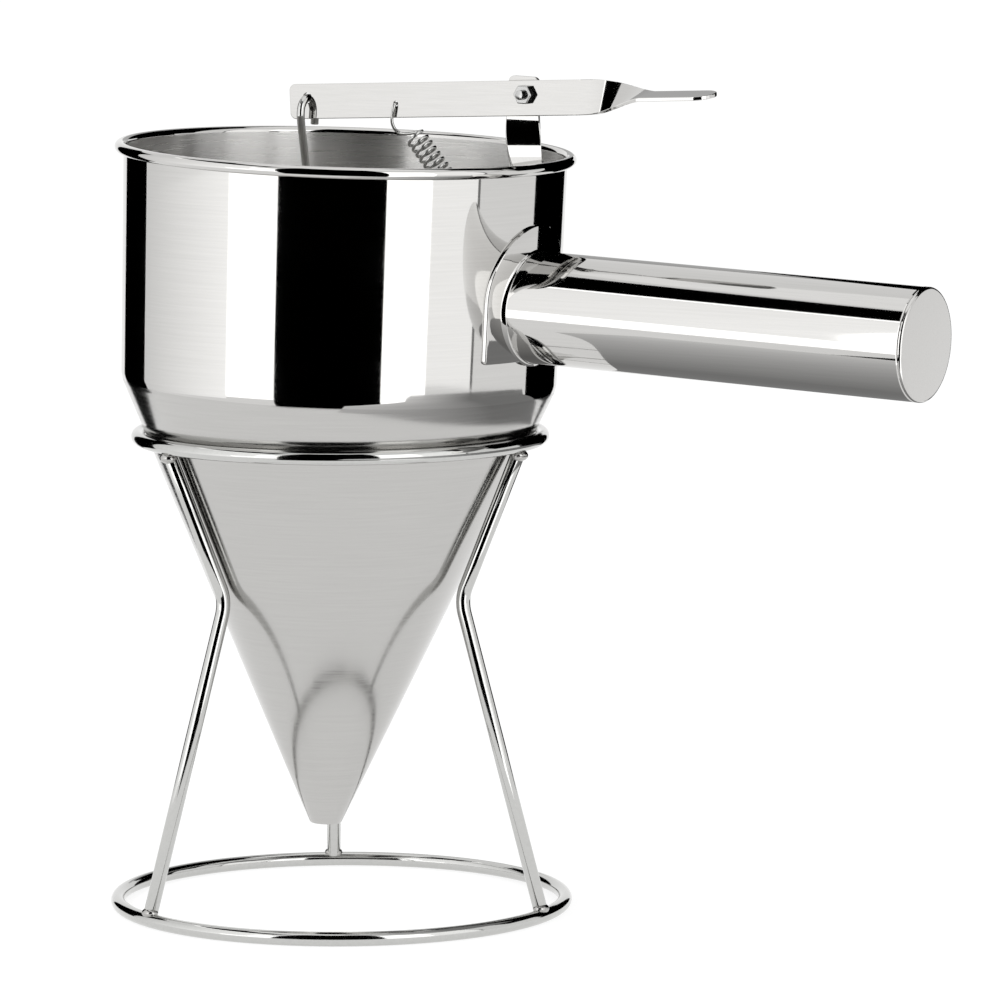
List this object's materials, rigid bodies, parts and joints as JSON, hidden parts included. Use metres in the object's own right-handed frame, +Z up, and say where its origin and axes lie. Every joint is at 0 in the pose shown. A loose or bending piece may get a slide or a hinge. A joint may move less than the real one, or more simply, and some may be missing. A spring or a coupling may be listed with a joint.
{
  "type": "batter dispenser",
  "caption": "Stainless funnel with a side tube handle and a thumb lever that lifts a spring-closed stopper rod, seated in a three-legged wire stand.",
  "frame": {"origin": "centre of the stand's base ring, on the table", "axes": "+Z up, +X the way the handle points, +Y the back, away from the nut of the lever's pivot"},
  "size_m": [0.2789, 0.1464, 0.2654],
  "materials": {
    "polished_sheet": "polished sheet",
    "polished_strip": "polished strip",
    "stand_wire": "polished wire",
    "fastener": "cold-formed",
    "rod_wire": "drawn wire",
    "turned_steel": "turned",
    "spring_wire": "drawn spring wire"
  },
  "bodies": {
    "stand": {"base_ring": "stand_wire", "seat_ring": "stand_wire", "leg_handle_side": "stand_wire", "leg_back": "stand_wire", "leg_front": "stand_wire"},
    "hopper_unit": {"hopper": "polished_sheet", "handle_saddle": "polished_sheet", "handle_tube": "polished_sheet", "handle_end_cap": "polished_sheet", "pivot_bracket": "polished_strip", "pivot_bolt": "fastener", "pivot_nut": "fastener", "pivot_washer": "fastener", "return_spring": "spring_wire"},
    "lever_arm": {"lever": "polished_strip"},
    "rod": {"plunger_rod": "rod_wire", "stopper": "turned_steel"}
  },
  "joints": [
    {"name": "hopper_lift", "type": "slide", "parent": "stand", "child": "hopper_unit", "axis": [0, 0, 1], "range_m": [0, 0.14]},
    {"name": "lever_pivot", "type": "hinge", "parent": "hopper_unit", "child": "lever_arm", "pos_m": [0.06725, 0, 0.25977], "axis": [0, 1, 0], "range_deg": [0, 10], "stiffness_Nm_per_rad": 0.41, "springref_deg": -28.07, "deforming": ["return_spring"]},
    {"name": "rod_hang", "type": "hinge", "parent": "lever_arm", "child": "rod", "pos_m": [-0.01137, 0, 0.25634], "axis": [0, 1, 0], "range_deg": [-10, 0]}
  ],
  "couplings": [
    {"joint": "rod_hang", "follows": "lever_pivot", "ratio": -1}
  ]
}
